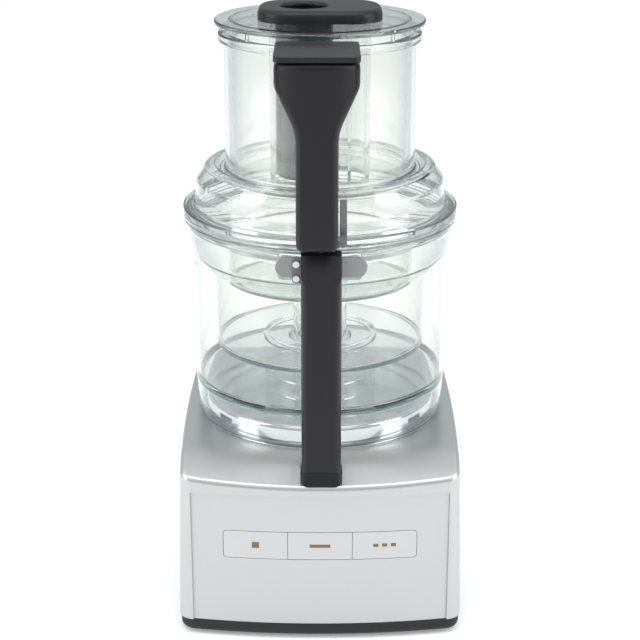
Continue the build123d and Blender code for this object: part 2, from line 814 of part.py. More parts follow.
def bowl_handle_block(low, inset):
    """The handle's full outer form above a height, with rounded long edges."""
    half = bowl_handle_half - inset
    front = bowl_handle_front - inset
    face = RectangleRounded(2 * half, front - bowl_handle_back, handle_round - inset * 0.6)
    place = Pos(bowl_handle_x, -(front + bowl_handle_back) / 2, low)
    bar = extrude(place * face, bowl_handle_top - inset - low)
    drop = bowl_handle_top - facet_low
    high = bowl_handle_top - inset
    side = flat([
        (-200, 0), (0, 0), (0, high), (-bowl_handle_back - handle_flat_top, high), (-front, high - drop),
        (-200, high - drop),
    ])
    return bar & extrude(Plane.YZ * side, 40, both=True)


def handle_split(grow):
    """Everything in front of the plane where the handle's two halves meet."""
    return block(-60, 60, -200, -(bowl_handle_front - cover_depth) + grow, 0, 400)


def bowl_handle_cover():
    """The gray front shell of the bowl's handle."""
    outer = bowl_handle_block(bowl_handle_low, 0) & handle_split(0)
    inner = bowl_handle_block(bowl_handle_low - 5, cover_wall)
    return one(outer - inner - rod(interlock_x(), rod_y, 0, 400, rod_radius + 0.35))


def bowl_handle_core():
    """The black inner half of the handle, with its foot and the channel for the rod."""
    gap = half_gap
    below = block(-60, 60, -200, 0, 0, bowl_handle_top - 3)
    core = bowl_handle_block(handle_foot_low, cover_wall + gap) & below
    back = bowl_handle_block(bowl_handle_low, 0) - handle_split(gap)
    foot = bowl_handle_block(handle_foot_low, 0.4) & block(-60, 60, -200, 0, 0, bowl_handle_low - gap)
    core += back + foot
    arm_back = -pad_front - bracket_thick - clamp_thick - gap
    arm = block(-10, 10, -bowl_handle_back - 2, arm_back, pad_low, pad_high)
    core += Pos(bowl_handle_x, 0, 0) * arm
    x = interlock_x()
    core -= rod(x, rod_y, 0, 400, rod_radius + 0.35)
    core -= rod(x, rod_y, spring_low, spring_high + 4.0, rod_collar + 0.4)
    return one(core)


def interlock_rod():
    """The rod in the handle that the lid's tab presses down on the switch."""
    x = interlock_x()
    bar = rod(x, rod_y, rod_low, rod_top, rod_radius)
    return bar + rod(x, rod_y, spring_high, spring_high + 3.0, rod_collar)


def rod_spring():
    """The coil spring under the rod's collar."""
    wire = spring_wire
    height = spring_high - spring_low - 2 * wire - 0.2
    path = Helix(pitch=height / 6, height=height, radius=rod_radius + 0.85)
    section = Plane(origin=path @ 0, z_dir=path % 0) * Circle(wire)
    coil = sweep(section, path=path)
    return Pos(interlock_x(), rod_y, spring_low + wire + 0.1) * coil


def midi_bowl():
    """The middle bowl: straight wall, a shoulder, and a flange that rests on the ledge."""
    rest = ledge_height + seat_gap
    inner = midi_radius - midi_wall
    edge = rim_radius - rim_wall - joint_gap
    floor_low = midi_floor_top - midi_wall
    tube_in = midi_tube_radius - midi_wall
    points = [
        (midi_radius - 0.5, floor_low), (midi_radius, rest - 34.0), (edge - 6.4, rest - 21.5),
        (edge - 4.2, rest), (edge, rest), (edge, rest + midi_flange), (edge - 6.0, rest + midi_flange),
        (edge - 8.4, rest - 20.4), (inner, rest - 33.0),
        (inner, midi_floor_top), (midi_ring_radius, midi_floor_top), (midi_ring_radius, midi_floor_top + 3),
        (midi_ring_radius - 3.6, midi_floor_top + 3), (midi_ring_radius - 3.6, midi_floor_top),
        (midi_tube_radius + 4, midi_floor_top), (midi_tube_radius, midi_floor_top + 5),
        (midi_tube_radius, midi_tube_top), (tube_in, midi_tube_top), (tube_in, floor_low),
    ]
    return turned(points, {0: 1.5, 1: 14.0, 2: 6.0, 7: 4.0, 8: 12.0, 9: 3.0})


def mini_bowl():
    """The smallest bowl, hung by its flange inside the middle one."""
    rest = ledge_height + 2 * seat_gap + midi_flange
    inner = mini_radius - mini_wall
    edge = rim_radius - rim_wall - joint_gap
    floor_low = mini_floor_top - mini_wall
    tube_in = mini_tube_radius - mini_wall
    points = [
        (mini_radius - 0.2, floor_low), (mini_radius, rest - 11.0), (edge - 11.3, rest - 7.5),
        (edge - 9.0, rest), (edge, rest), (edge, rest + mini_flange), (edge - 10.8, rest + mini_flange),
        (edge - 13.0, rest - 5.6), (inner, rest - 9.2),
        (inner, mini_floor_top), (mini_tube_radius, mini_floor_top), (mini_tube_radius, mini_tube_top),
        (tube_in, mini_tube_top), (tube_in, floor_low),
    ]
    return turned(points, {0: 1.5, 1: 5.0, 8: 4.0, 9: 3.0, 11: 0.8})


# --- lid ------------------------------------------------------------------
def lid():
    """The clear lid: flange, domed shoulder, feed tube with a beaded mouth."""
    low = bowl_top + seat_gap
    spigot = rim_radius - rim_wall - joint_gap
    inner = tube_radius - tube_wall
    wall = lid_wall
    points = [
        (lid_radius, low), (lid_radius, lid_flange_high), (dome_radius + 2.0, lid_flange_high + 0.4),
        (dome_radius, lid_flange_high + 9), (dome_radius - 0.2, crest_height - 12.0),
        (crest_radius + 3.5, crest_height - 0.8), (crest_radius - 3.0, crest_height - 0.6),
        (tube_radius + 4.0, crest_height - 3.4),
        (tube_radius, crest_height - 2.6), (tube_radius, tube_top - 7.0), (tube_bead, tube_top - 6.2),
        (tube_bead, tube_top), (inner, tube_top), (inner, tube_low), (tube_radius - 0.4, tube_low),
        (tube_radius - 0.2, crest_height - 5.6), (tube_radius + 4.0, crest_height - 6.0),
        (crest_radius - 2.6, crest_height - 3.2), (crest_radius + 2.0, crest_height - 3.6),
        (dome_radius - wall - 0.4, crest_height - 13.0), (dome_radius - wall, lid_flange_high + 8),
        (spigot - wall, lid_flange_high - 1), (spigot - wall, low - 5.8), (spigot, low - 5.8), (spigot, low),
    ]
    rounds = {1: 1.2, 2: 2.5, 4: 5.0, 5: 3.5, 6: 3.0, 7: 2.0, 8: 2.0, 10: 1.0, 11: 1.6, 18: 2.5, 19: 4.0}
    shell = turned(points, rounds)
    lug = block(-lug_half, lug_half, -lug_front, -60, lug_low, lug_high)
    shell += Pos(lid_handle_x, 0, 0) * lug - rod(0, 0, 0, tube_top + 100, tube_radius - 1)
    for x in (-lug_screw_x, lug_screw_x):
        shell -= rod(lid_handle_x + x, -lug_screw_y, lug_low - 5, tube_top + 5, screw_pilot + 0.15)
    return one(shell)


def lid_handle():
    """The dark grip: an upright bar in front of the tube, joined to it by a top arm."""
    grip = lid_grip_half
    wide = lid_wide_half
    outline = [
        (-grip, lid_handle_low), (grip, lid_handle_low), (grip, lid_taper_low), (wide, lid_wide_low),
        (wide, lid_handle_top), (-wide, lid_handle_top), (-wide, lid_wide_low), (-grip, lid_taper_low),
    ]
    rounds = {0: 5.0, 1: 5.0, 2: 34.0, 3: 16.0, 6: 16.0, 7: 34.0}
    front = extrude(Plane.XZ * flat(outline, rounds), 75, both=True)
    front = Pos(lid_handle_x, -100, 0) * front
    back = lid_handle_front - lid_handle_depth
    arm_low = lug_high + 0.1
    side = [
        (-lid_handle_front, lid_handle_low), (-dome_radius - 2.4, lid_handle_low),
        (-dome_radius - 2.4, lid_handle_low + 9), (-back, lid_handle_low + 14),
        (-back, arm_low - 4), (-back + 6, arm_low), (-60, arm_low), (-60, lid_handle_top),
        (-lid_handle_front, lid_handle_top),
    ]
    profile = extrude(Plane.YZ * flat(side, {3: 6.0, 4: 6.0, 8: 5.0}), 60, both=True)
    handle = front & profile
    long_edges = [e for e in handle.edges() if e.center().Y < -lid_handle_front + 0.6]
    middle_edges = [e for e in long_edges if lid_handle_low + 1 < e.center().Z < lid_handle_top - 1]
    handle = fillet(middle_edges, 4.0)
    handle -= rod(0, 0, 0, lid_handle_top + 5, tube_bead + 0.15)
    handle -= rod(0, 0, 0, lid_handle_low + 30, dome_radius + 2.2)
    handle -= rod(0, 0, 0, lid_flange_high + 0.5, lid_radius + 0.2)
    for x in (-lug_screw_x, lug_screw_x):
        handle -= rod(lid_handle_x + x, -lug_screw_y, 0, lid_handle_top - 1.0, 1.6)
    return one(handle)


def lid_handle_plate():
    """The thin top plate that closes the handle and reaches over the tube's bead."""
    half = lid_wide_half + 0.4
    depth = lid_handle_front - 0.2 - tube_radius
    face = RectangleRounded(2 * half, depth, 5.0)
    middle = -(lid_handle_front - 0.2 + tube_radius) / 2
    low = lid_handle_top + 0.05
    plate = extrude(Pos(lid_handle_x, middle, low) * face, lid_plate_top - low)
    plate -= rod(0, 0, 0, tube_top + 100, tube_radius - 0.3)
    top = plate.faces().sort_by(Axis.Z)[-1].edges()
    return one(fillet(top, 1.0))


def lid_handle_screws():
    """Two screws up through the lid's lug into the handle's arm."""
    low = lug_low - 2.4
    places = [(lid_handle_x + x, -lug_screw_y) for x in (-lug_screw_x, lug_screw_x)]
    return [screw(x, y, low, lid_handle_top - 1.5, 1.5, 3.2, 2.4) for x, y in places]


def lid_lock_tab():
    """The tab under the handle's lower end that presses the rod in the bowl's handle."""
    x = interlock_x()
    low = rod_top + 0.2
    high = lid_handle_low - 0.05
    outside = -(lid_radius + 1.2)
    wall = -(dome_radius + 2.3)
    over = lid_flange_high + 0.5
    tab = block(x - 6, x + 6, rod_y - 2.4, outside, high - 2.6, high)
    tab += rod(x, rod_y, low, high, rod_radius)
    arm = block(x + 4, x + hook_out, outside - 2.4, outside, high - 2.6, high)
    riser = block(x + hook_in, x + hook_out, outside - 2.4, outside, high - 2.6, over + 2)
    step = block(x + hook_in, x + hook_out, outside - 2.4, wall, over, over + 2)
    hook = block(x + hook_in, x + hook_out, wall - hook_thick, wall, over, hook_high)
    return one(tab + arm + riser + step + hook)


# --- pushers --------------------------------------------------------------
def pusher_inner():
    """The inner radius of the large pusher's wall."""
    return tube_radius - tube_wall - pusher_gap - pusher_wall


def large_pusher():
    """The clear cup that fills the feed tube, with a wide rim and an oval hole in its floor."""
    inner = pusher_inner()
    outer = inner + pusher_wall
    top = disc_low + disc_thick
    points = [
        (outer, pusher_low), (outer, disc_low), (disc_radius, disc_low), (disc_radius, top),
        (inner, top), (inner, pusher_low + pusher_wall), (0, pusher_low + pusher_wall), (0, pusher_low),
    ]
    cup = turned(points, {0: 1.0, 2: 0.8, 3: 1.2})
    cup -= oval(chute_half_x + seat_gap, chute_half_y + seat_gap, pusher_low - 5, disc_low, chute_half_y - 1)
    for x, y in spots(tube_bead - 2.6, 4, 45):
        cup += rod(x, y, tube_top + seat_gap, disc_low + 1, 1.6)
    return one(cup)


def pusher_chute():
    """The clear chute welded into the large pusher: an oval tube under a round cover."""
    top = disc_low + disc_thick
    chute = rod(0, 0, disc_low, top, pusher_inner() - seat_gap)
    chute += oval(chute_half_x, chute_half_y, pusher_low, top, chute_half_y - 1)
    chute -= oval(chute_half_x - chute_wall, chute_half_y - chute_wall, pusher_low - 5, top + 5,
                  chute_half_y - chute_wall - 1)
    deep = chute_half_y - 1
    chute += block(partition_x - 1, partition_x + 1, -deep, deep, pusher_low, disc_low)
    return one(chute)


def small_pusher():
    """The dark round pusher in the chute: a cup that also measures."""
    low = pusher_low + 1.6
    high = cap_base() + cap_height - 3.05
    cup = rod(small_x, 0, low, high, small_radius)
    cup = fillet(cup.faces().sort_by(Axis.Z)[0].edges(), 4.0)
    return one(cup - rod(small_x, 0, low + small_wall, high + 1, small_radius - small_wall))


def cap_base():
    """Where the cap rests on the large pusher's disc."""
    return disc_low + disc_thick + seat_gap


def pusher_cap():
    """The crowned oval cap on the small pusher, with a dished round mouth."""
    low = cap_base()
    cap = oval(cap_half_x, cap_half_y, low, low + cap_height, 24.0)
    cap = fillet(cap.faces().sort_by(Axis.Z)[-1].edges(), 5.0)
    cap -= oval(cap_half_x - 3, cap_half_y - 3, low - 1, low + cap_height - 3.0, 21.0)
    cap -= rod(small_x, 0, low, low + 30, cap_hole)
    mouth = [e for e in cap.edges().filter_by(GeomType.CIRCLE)
             if abs(e.radius - cap_hole) < 0.1 and e.center().Z > low + cap_height - 1]
    return one(fillet(mouth, 2.6))


# --- write every piece ----------------------------------------------------
def save(name, shape):
    """Write one node, as one solid or as a group of separate ones."""
    if isinstance(shape, list):
        shape = Compound(children=[s for part in shape for s in part.solids()])
    shape.label = name
    export_step(shape, f"parts/{name}.step")


def main():
    os.makedirs("parts", exist_ok=True)
    save("motor_housing", motor_housing())
    save("base_tray", base_tray())
    names = ["foot_front_left", "foot_back_left", "foot_front_right", "foot_back_right"]
    for name, (x, y) in zip(names, foot_spots()):
        save(name, rubber_foot(x, y))
    save("tray_screws", tray_screws())
    save("bowl_seat", bowl_seat())
    save("seat_screws", seat_screws())
    save("shaft_seal", shaft_seal())
    save("motor_lower_bell", lower_bell())
    save("motor_upper_bell", upper_bell())
    save("motor_stator", motor_stator())
    save("stator_windings", stator_windings())
    save("motor_bolts", motor_bolts())
    save("motor_nuts", motor_nuts())
    save("rubber_mounts", rubber_mounts())
    save("mount_screws", mount_screws())
    save("lower_bearing", bearing(lower_bell_low + 3))
    save("upper_bearing", bearing(mount_low_plate() - 2))
    save("run_capacitor", run_capacitor())
    save("capacitor_clip", capacitor_clip())
    save("control_board", control_board())
    save("board_screws", board_screws())
    for index, name in enumerate(button_names):
        save(f"{name}_switch", push_switch(index))
        save(f"{name}_button", push_button(index))
    save("cord_gland", cord_gland())
    save("terminal_block", terminal_block())
    save("interlock_switch", interlock_switch())
    save("spindle", spindle())
    save("spindle_circlip", spindle_circlip())
    save("rotor_core", rotor_core())
    save("cooling_fan", cooling_fan())
    save("main_bowl", main_bowl())
    save("handle_bracket", handle_bracket())
    save("handle_clamp", handle_clamp())
    save("handle_screws", handle_screws())
    save("bowl_handle_cover", bowl_handle_cover())
    save("bowl_handle_core", bowl_handle_core())
    save("interlock_rod", interlock_rod())
    save("rod_spring", rod_spring())
    save("midi_bowl", midi_bowl())
    save("mini_bowl", mini_bowl())
    save("lid", lid())
    save("lid_handle", lid_handle())
    save("lid_handle_plate", lid_handle_plate())
    save("lid_handle_screws", lid_handle_screws())
    save("lid_lock_tab", lid_lock_tab())
    save("large_pusher", large_pusher())
    save("pusher_chute", pusher_chute())
    save("small_pusher", small_pusher())
    save("pusher_cap", pusher_cap())


main()
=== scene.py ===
import bpy, bmesh, math
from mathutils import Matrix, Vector


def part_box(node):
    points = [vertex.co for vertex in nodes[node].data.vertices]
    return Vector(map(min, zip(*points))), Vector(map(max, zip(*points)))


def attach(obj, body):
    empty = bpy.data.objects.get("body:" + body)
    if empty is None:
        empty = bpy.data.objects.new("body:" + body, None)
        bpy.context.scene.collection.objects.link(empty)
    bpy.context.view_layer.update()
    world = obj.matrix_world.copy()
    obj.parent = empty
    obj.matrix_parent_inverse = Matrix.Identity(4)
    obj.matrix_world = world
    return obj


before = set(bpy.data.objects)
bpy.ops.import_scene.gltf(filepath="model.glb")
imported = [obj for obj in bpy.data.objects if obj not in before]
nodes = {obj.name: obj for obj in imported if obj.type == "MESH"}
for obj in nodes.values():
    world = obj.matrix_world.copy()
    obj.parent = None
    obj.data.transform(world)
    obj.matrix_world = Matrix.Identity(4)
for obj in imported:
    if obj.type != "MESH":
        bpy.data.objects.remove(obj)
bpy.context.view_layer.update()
MM = 0.001

# The stand: a pale table top under soft white studio light, looked at from a little
# above the lid, straight at the front of the machine.  Big white panels light it from
# both sides and above, and a darker band low behind gives the clear plastic its edges.
PLASTIC_BOUNCES = 40        # light crosses up to a dozen clear walls, in and out of each
CAMERA_LENS = 89.53
CAMERA_BACK = 1.1587
CAMERA_HEIGHT = 0.6188
CAMERA_TILT = 70.27
TABLE_GLOW = 0.24
SKY_STRENGTH = 0.95

scene = bpy.context.scene
scene.view_settings.view_transform = "Standard"
scene.cycles.max_bounces = PLASTIC_BOUNCES
scene.cycles.transmission_bounces = PLASTIC_BOUNCES
scene.cycles.glossy_bounces = 12
scene.cycles.transparent_max_bounces = 48
scene.cycles.caustics_reflective = False

camera_data = bpy.data.cameras.new("camera")
camera_data.lens = CAMERA_LENS
camera_data.sensor_width = 36.0
camera = bpy.data.objects.new("camera", camera_data)
camera.location = (0.0, -CAMERA_BACK, CAMERA_HEIGHT)
camera.rotation_euler = (math.radians(CAMERA_TILT), 0.0, 0.0)
scene.collection.objects.link(camera)
scene.camera = camera


def new_material(name):
    mat = bpy.data.materials.new(name)
    mat.use_nodes = True
    return mat, mat.node_tree, mat.node_tree.nodes["Principled BSDF"]


def mottle(nt, shader, dark, light, noise):
    """Shader base colour that drifts between two tones with a noise."""
    tone = nt.nodes.new("ShaderNodeMix")
    tone.data_type = "RGBA"
    tone.inputs["A"].default_value = [*dark, 1]
    tone.inputs["B"].default_value = [*light, 1]
    nt.links.new(noise.outputs["Fac"], tone.inputs["Factor"])
    nt.links.new(tone.outputs["Result"], shader.inputs["Base Color"])


def add_object(name, bm):
    mesh = bpy.data.meshes.new(name)
    bm.to_mesh(mesh)
    bm.free()
    piece = bpy.data.objects.new(name, mesh)
    scene.collection.objects.link(piece)
    return piece


def table_top():
    bm = bmesh.new()
    bmesh.ops.create_grid(bm, x_segments=8, y_segments=8, size=6.0)
    top = add_object("table_top", bm)
    mat, nt, shader = new_material("table_white")
    noise = nt.nodes.new("ShaderNodeTexNoise")
    noise.inputs["Scale"].default_value = 3.0
    mottle(nt, shader, (0.90, 0.90, 0.90), (0.94, 0.94, 0.94), noise)
    shader.inputs["Roughness"].default_value = 0.6
    shader.inputs["Specular IOR Level"].default_value = 0.2
    shader.inputs["Emission Color"].default_value = (1.0, 1.0, 1.0, 1)
    shader.inputs["Emission Strength"].default_value = TABLE_GLOW
    top.data.materials.append(mat)


def studio_sky():
    world = bpy.data.worlds.new("studio")
    scene.world = world
    world.use_nodes = True
    nt = world.node_tree
    background = nt.nodes["Background"]
    where = nt.nodes.new("ShaderNodeTexCoord")
    apart = nt.nodes.new("ShaderNodeSeparateXYZ")
    ramp = nt.nodes.new("ShaderNodeValToRGB")
    nt.links.new(where.outputs["Generated"], apart.inputs[0])
    nt.links.new(apart.outputs["Z"], ramp.inputs["Fac"])
    stops = ramp.color_ramp.elements
    stops[0].position, stops[0].color = 0.0, (0.40, 0.41, 0.41, 1)
    stops[1].position, stops[1].color = 0.75, (1.0, 1.0, 1.0, 1)
    middle = stops.new(0.35)
    middle.color = (0.54, 0.60, 0.66, 1)
    nt.links.new(ramp.outputs["Color"], background.inputs["Color"])
    background.inputs["Strength"].default_value = SKY_STRENGTH


def soft_panel(name, place, aim, width, height, power):
    data = bpy.data.lights.new(name, "AREA")
    data.shape = "RECTANGLE"
    data.size, data.size_y = width, height
    data.energy = power
    lamp = bpy.data.objects.new(name, data)
    lamp.location = place
    lamp.rotation_euler = (Vector(aim) - Vector(place)).to_track_quat("-Z", "Y").to_euler()
    scene.collection.objects.link(lamp)


table_top()
studio_sky()
soft_panel("left_panel", (-1.6, -0.5, 0.9), (0, 0, 0.25), 0.8, 1.6, 12)
soft_panel("right_panel", (1.6, -0.5, 0.9), (0, 0, 0.25), 0.8, 1.6, 12)
soft_panel("top_panel", (0.0, -0.5, 2.2), (0, 0, 0.2), 1.8, 1.2, 16)


# Base housing: one silver-lacquered moulding over a steel frame, with a satin surface
# that carries a very fine metal fleck.  The bowl seat on top has the same lacquer,
# polished.
def crown_normal(nt, where, relief, middle, radius):
    """Bend the shading across X as a gently rounded face would."""
    apart = nt.nodes.new("ShaderNodeSeparateXYZ")
    nt.links.new(where.outputs["Object"], apart.inputs[0])
    height = apart.outputs["X"]
    for operation, amount in (("SUBTRACT", middle), ("POWER", 2.0), ("MULTIPLY", -0.5 / radius)):
        step = nt.nodes.new("ShaderNodeMath")
        step.operation = operation
        step.inputs[1].default_value = amount
        nt.links.new(height, step.inputs[0])
        height = step.outputs[0]
    crowning = nt.nodes.new("ShaderNodeBump")
    crowning.inputs["Distance"].default_value = 1.0
    nt.links.new(height, crowning.inputs["Height"])
    nt.links.new(crowning.outputs["Normal"], relief.inputs["Normal"])


def surface(name, colour, roughness, metallic=0.0, coat=0.0, fleck=0.0, bump=0.0,
            scale=900.0, spread=0.0, shine=0.5, crown=None):
    """A finish with a fine two-tone grain, uneven gloss and a shallow relief."""
    mat, nt, shader = new_material(name)
    where = nt.nodes.new("ShaderNodeTexCoord")
    grain = nt.nodes.new("ShaderNodeTexNoise")
    grain.inputs["Scale"].default_value = scale
    grain.inputs["Detail"].default_value = 3.0
    nt.links.new(where.outputs["Object"], grain.inputs["Vector"])
    mottle(nt, shader, [c * (1 - fleck) for c in colour],
           [min(1.0, c * (1 + fleck)) for c in colour], grain)
    cloud = nt.nodes.new("ShaderNodeTexNoise")
    cloud.inputs["Scale"].default_value = 14.0
    nt.links.new(where.outputs["Object"], cloud.inputs["Vector"])
    rough = nt.nodes.new("ShaderNodeMapRange")
    rough.inputs["To Min"].default_value = max(0.0, roughness - spread)
    rough.inputs["To Max"].default_value = roughness + spread
    nt.links.new(cloud.outputs["Fac"], rough.inputs["Value"])
    nt.links.new(rough.outputs["Result"], shader.inputs["Roughness"])
    shader.inputs["Metallic"].default_value = metallic
    shader.inputs["Specular IOR Level"].default_value = shine
    shader.inputs["Coat Weight"].default_value = coat
    shader.inputs["Coat Roughness"].default_value = 0.15
    relief = nt.nodes.new("ShaderNodeBump")
    relief.inputs["Strength"].default_value = bump
    relief.inputs["Distance"].default_value = 0.0001
    nt.links.new(grain.outputs["Fac"], relief.inputs["Height"])
    nt.links.new(relief.outputs["Normal"], shader.inputs["Normal"])
    if crown:
        crown_normal(nt, where, relief, *crown)
    return mat


def finish_nodes(mat, *names):
    for name in names:
        node = nodes[name]
        node.data.materials.clear()
        node.data.materials.append(mat)


silver_lacquer = surface("silver_lacquer", (0.505, 0.508, 0.512), 0.33, metallic=0.7,
                         coat=0.3, fleck=0.03, bump=0.04, scale=2600.0, spread=0.03)
finish_nodes(silver_lacquer, "motor_housing")
seat_lacquer = surface("seat_lacquer", (0.66, 0.68, 0.70), 0.10, metallic=0.9,
                       coat=0.5, fleck=0.01, scale=600.0, spread=0.02)
finish_nodes(seat_lacquer, "bowl_seat")


# Push buttons: three curved pads in the same silver lacquer as the front, each with a
# bronze printed mark: a square for stop, a bar for steady running, dashes for bursts.
button_lacquer = surface("button_lacquer", (0.53, 0.533, 0.537), 0.3, metallic=0.5,
                         coat=0.3, fleck=0.03, bump=0.04, scale=2600.0, spread=0.02)
finish_nodes(button_lacquer, "stop_button", "auto_button", "pulse_button")
bronze_ink = surface("bronze_ink", (0.20, 0.125, 0.060), 0.35, metallic=0.2,
                     fleck=0.1, scale=1800.0, spread=0.03)
INK_HEIGHT = 0.00006
MARK_ROWS = 3
DASH_STEP = 6.4


def printed_mark(name, under, ink, left, right, low, high):
    """A printed patch that lies on a node's outer face, seen from the front."""
    bm = bmesh.new()
    across = max(2, int(right - left))
    rows = []
    for k in range(MARK_ROWS):
        z = low + (high - low) * k / (MARK_ROWS - 1)
        row = []
        for i in range(across + 1):
            x = left + (right - left) * i / across
            start = Vector((x * MM, -1.0, z * MM))
            _, spot, normal, _ = nodes[under].ray_cast(start, Vector((0, 1, 0)))
            row.append(bm.verts.new(spot + normal * INK_HEIGHT))
        rows.append(row)
    for lower, upper in zip(rows, rows[1:]):
        for i in range(across):
            bm.faces.new((lower[i], lower[i + 1], upper[i + 1], upper[i]))
    mark = add_object(name, bm)
    mark.data.materials.append(ink)
    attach(mark, under)


def button_mark(name, button, half_wide, half_high, along=0.0):
    """A bronze mark on a button, its middle moved along from the button's by so much."""
    low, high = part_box(button)
    x, z = ((low[i] + high[i]) / 2 / MM for i in (0, 2))
    x += along
    printed_mark(name, button, bronze_ink, x - half_wide, x + half_wide,
                 z - half_high, z + half_high)


button_mark("stop_square", "stop_button", 2.6, 2.4)
button_mark("auto_bar", "auto_button", 7.5, 1.3)
for k in range(3):
    button_mark("pulse_dash_%d" % (k + 1), "pulse_button", 1.9, 1.3, DASH_STEP * (k - 1))


# Base tray and cord inlet: black moulded plastic with a fine spark grain.
tray_black = surface("tray_black", (0.018, 0.0175, 0.020), 0.5, fleck=0.2, bump=0.4,
                     scale=1500.0, spread=0.06, shine=0.3)
finish_nodes(tray_black, "base_tray", "cord_gland")


# Feet, motor mounts and shaft seal: soft black rubber.
foot_rubber = surface("foot_rubber", (0.03, 0.03, 0.03), 0.75, fleck=0.3, bump=0.5,
                      scale=1200.0, spread=0.08)
finish_nodes(foot_rubber, "foot_front_left", "foot_back_left", "foot_front_right",
             "foot_back_right", "rubber_mounts", "shaft_seal")


# Spindle, bearings and fasteners: turned and plated steel.
turned_steel = surface("turned_steel", (0.60, 0.60, 0.61), 0.28, metallic=1.0,
                       fleck=0.08, bump=0.2, scale=900.0, spread=0.06)
finish_nodes(turned_steel, "spindle", "spindle_circlip", "lower_bearing", "upper_bearing",
             "tray_screws", "seat_screws", "motor_bolts", "motor_nuts", "mount_screws",
             "board_screws", "handle_screws", "lid_handle_screws", "capacitor_clip",
             "rod_spring")


# Motor: cast aluminium bells and fan, stacked plates, and varnished copper windings.
cast_bell = surface("cast_bell", (0.62, 0.63, 0.64), 0.5, metallic=1.0, fleck=0.1,
                    bump=0.5, scale=500.0, spread=0.1)
finish_nodes(cast_bell, "motor_lower_bell", "motor_upper_bell", "cooling_fan")
stacked_plates = surface("stacked_plates", (0.30, 0.30, 0.32), 0.45, metallic=0.9,
                         fleck=0.2, bump=0.4, scale=700.0, spread=0.1)
finish_nodes(stacked_plates, "motor_stator", "rotor_core")
copper_wire = surface("copper_wire", (0.62, 0.30, 0.14), 0.35, metallic=0.9,
                      fleck=0.25, bump=0.8, scale=600.0, spread=0.08)
finish_nodes(copper_wire, "stator_windings")


# Electrics: black moulded switches, terminal block and capacitor, and a green board.
moulded_black = surface("moulded_black", (0.06, 0.06, 0.065), 0.45, fleck=0.2,
                        bump=0.3, scale=900.0, spread=0.05)
finish_nodes(moulded_black, "run_capacitor", "stop_switch", "auto_switch",
             "pulse_switch", "terminal_block", "interlock_switch")
board_green = surface("board_green", (0.06, 0.22, 0.11), 0.35, coat=0.4, fleck=0.15,
                      bump=0.2, scale=500.0, spread=0.05)
finish_nodes(board_green, "control_board")


# Handles, their cover plate and the pusher cap: dark gray satin plastic with a very fine
# moulded grain.  The two grips are slightly crowned across their width.
GRIP_CROWN = 0.035
handle_gray = surface("handle_gray", (0.0110, 0.0100, 0.0125), 0.40, fleck=0.15,
                      bump=0.10, scale=2200.0, spread=0.03, shine=0.35)
finish_nodes(handle_gray, "lid_handle_plate", "pusher_cap")
for name in ("bowl_handle_cover", "lid_handle"):
    low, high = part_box(name)
    grip_gray = surface(name + "_gray", (0.0085, 0.0078, 0.0100), 0.38, fleck=0.15,
                        bump=0.10, scale=2200.0, spread=0.03, shine=0.30,
                        crown=((low[0] + high[0]) / 2, GRIP_CROWN))
    finish_nodes(grip_gray, name)
smoke_gray = surface("smoke_gray", (0.030, 0.031, 0.037), 0.25, coat=0.2, fleck=0.08,
                     bump=0.05, scale=1200.0, spread=0.03)
finish_nodes(smoke_gray, "small_pusher")
handle_black = surface("handle_black", (0.004, 0.004, 0.005), 0.4, fleck=0.2,
                       bump=0.1, scale=2200.0, spread=0.03, shine=0.25)
finish_nodes(handle_black, "bowl_handle_core", "interlock_rod")


# Handle bracket, its clamp and the lid's lock tab: a satin steel plate with gray
# moulded plastic parts, all seen through the clear rim beside the handles.
bracket_steel = surface("bracket_steel", (0.30, 0.305, 0.31), 0.42, metallic=0.5,
                        fleck=0.05, bump=0.1, scale=1500.0, spread=0.05)
finish_nodes(bracket_steel, "handle_bracket")
clamp_gray = surface("clamp_gray", (0.20, 0.205, 0.215), 0.4, fleck=0.1, bump=0.15,
                     scale=1500.0, spread=0.04)
finish_nodes(clamp_gray, "handle_clamp", "lid_lock_tab")


# Bowls, lid and large pusher: thick clear plastic.  Light through it picks up a little
# green.  A wall seen nearly edge on gets a painted gray-green shade in its colour, standing
# in for the darker reflections thick clear mouldings show there.
WALL_TINT = (0.955, 0.960, 0.948, 1)
# Painted shade: the colour and falloff of the darkening painted on walls seen edge on.
GRAZING_SHADE_TINT = (0.25, 0.33, 0.33, 1)
GRAZING_SHADE_POWER = 3.2
RIPPLE = 0.05


